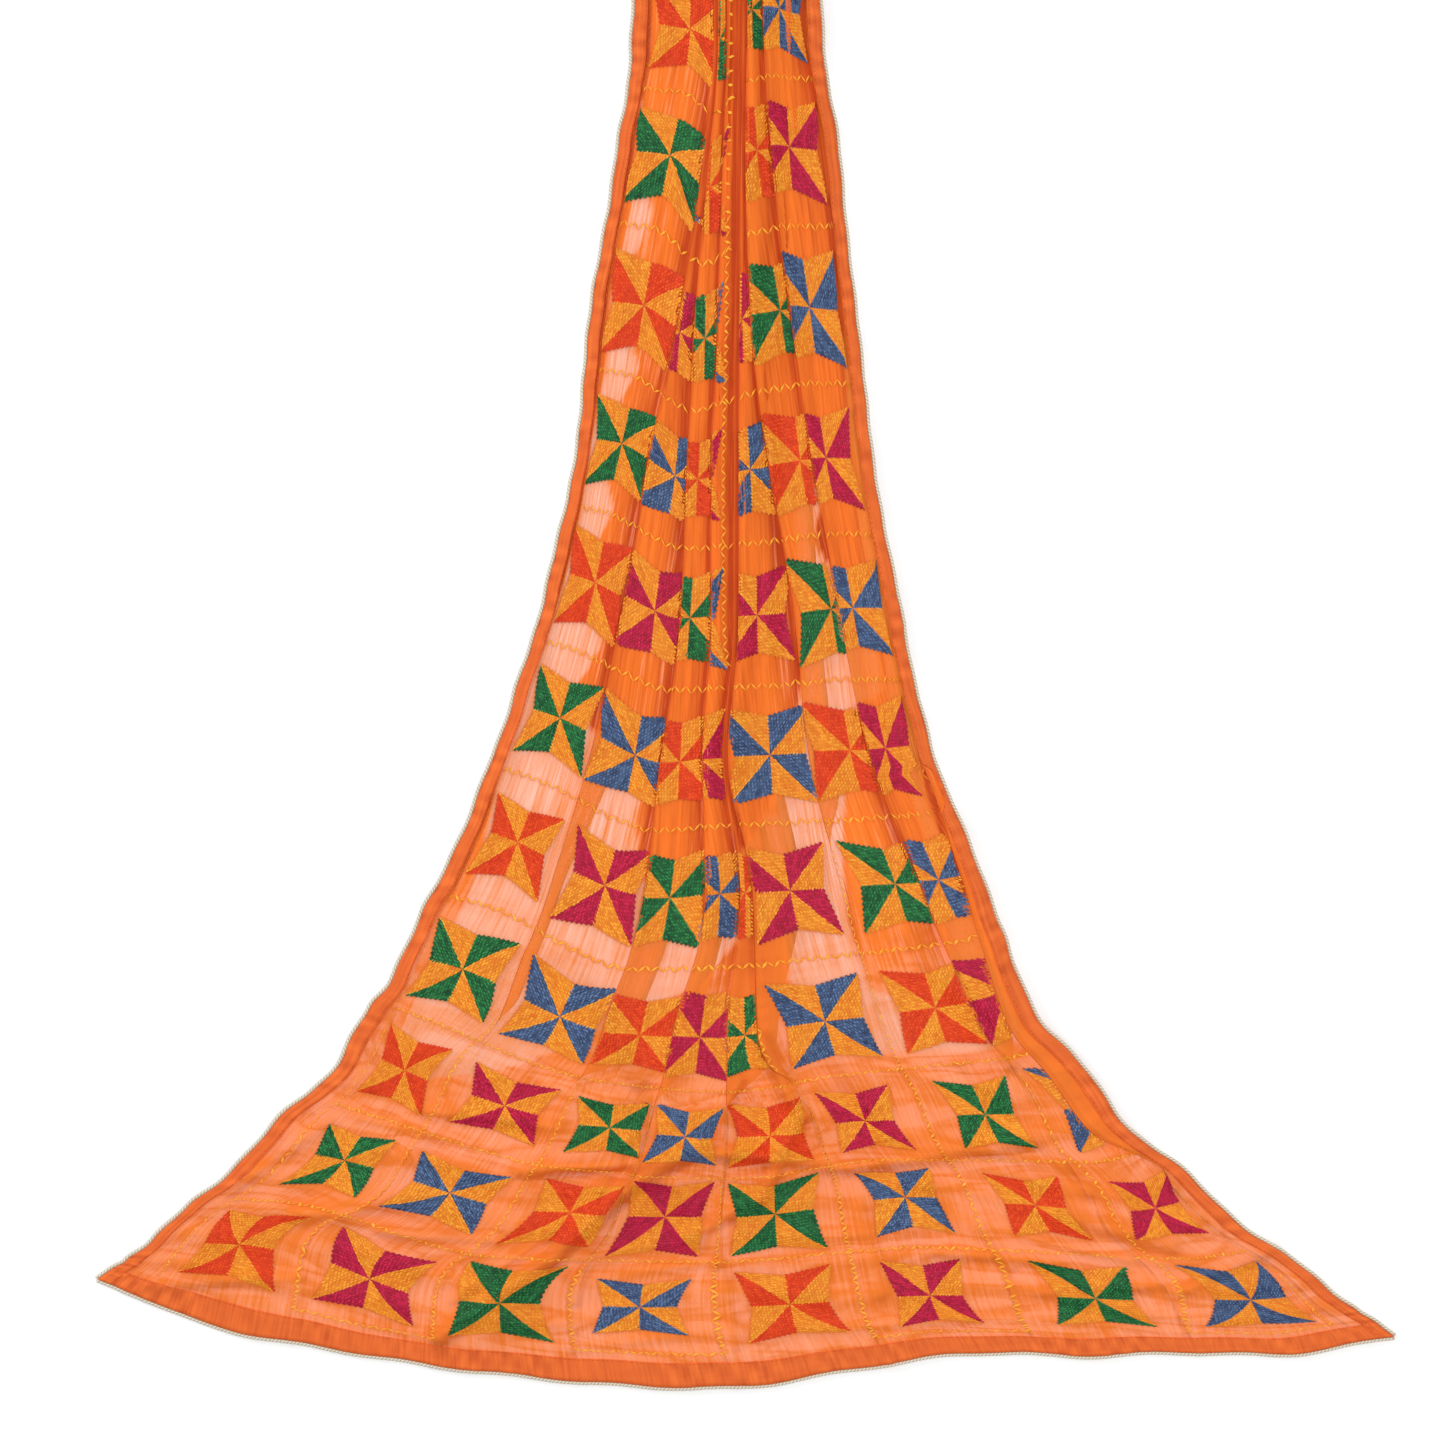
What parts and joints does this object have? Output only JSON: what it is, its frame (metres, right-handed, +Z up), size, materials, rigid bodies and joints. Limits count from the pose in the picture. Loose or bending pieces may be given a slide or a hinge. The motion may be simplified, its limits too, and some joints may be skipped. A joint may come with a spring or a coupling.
{
  "type": "phulkari shawl",
  "caption": "Sheer crinkled orange shawl with pinwheel embroidery, pleated along its length, spread to a fan at one end, lying flat.",
  "frame": {"origin": "on the floor, under the middle of the laid shawl's outline", "axes": "+X across the fan to the right, +Y along the cloth from the fan to the far hem, +Z up out of the floor"},
  "size_m": [0.8864, 2.1476, 0.0163],
  "materials": {
    "chiffon": "matte",
    "hem": "matte",
    "piping": "matte"
  },
  "bodies": {
    "root": {"panel": "chiffon", "hem_left": "hem", "hem_right": "hem", "hem_shown_end": "hem", "hem_far_end": "hem", "piping_left": "piping", "piping_right": "piping", "piping_shown_end": "piping", "piping_far_end": "piping"}
  },
  "joints": []
}
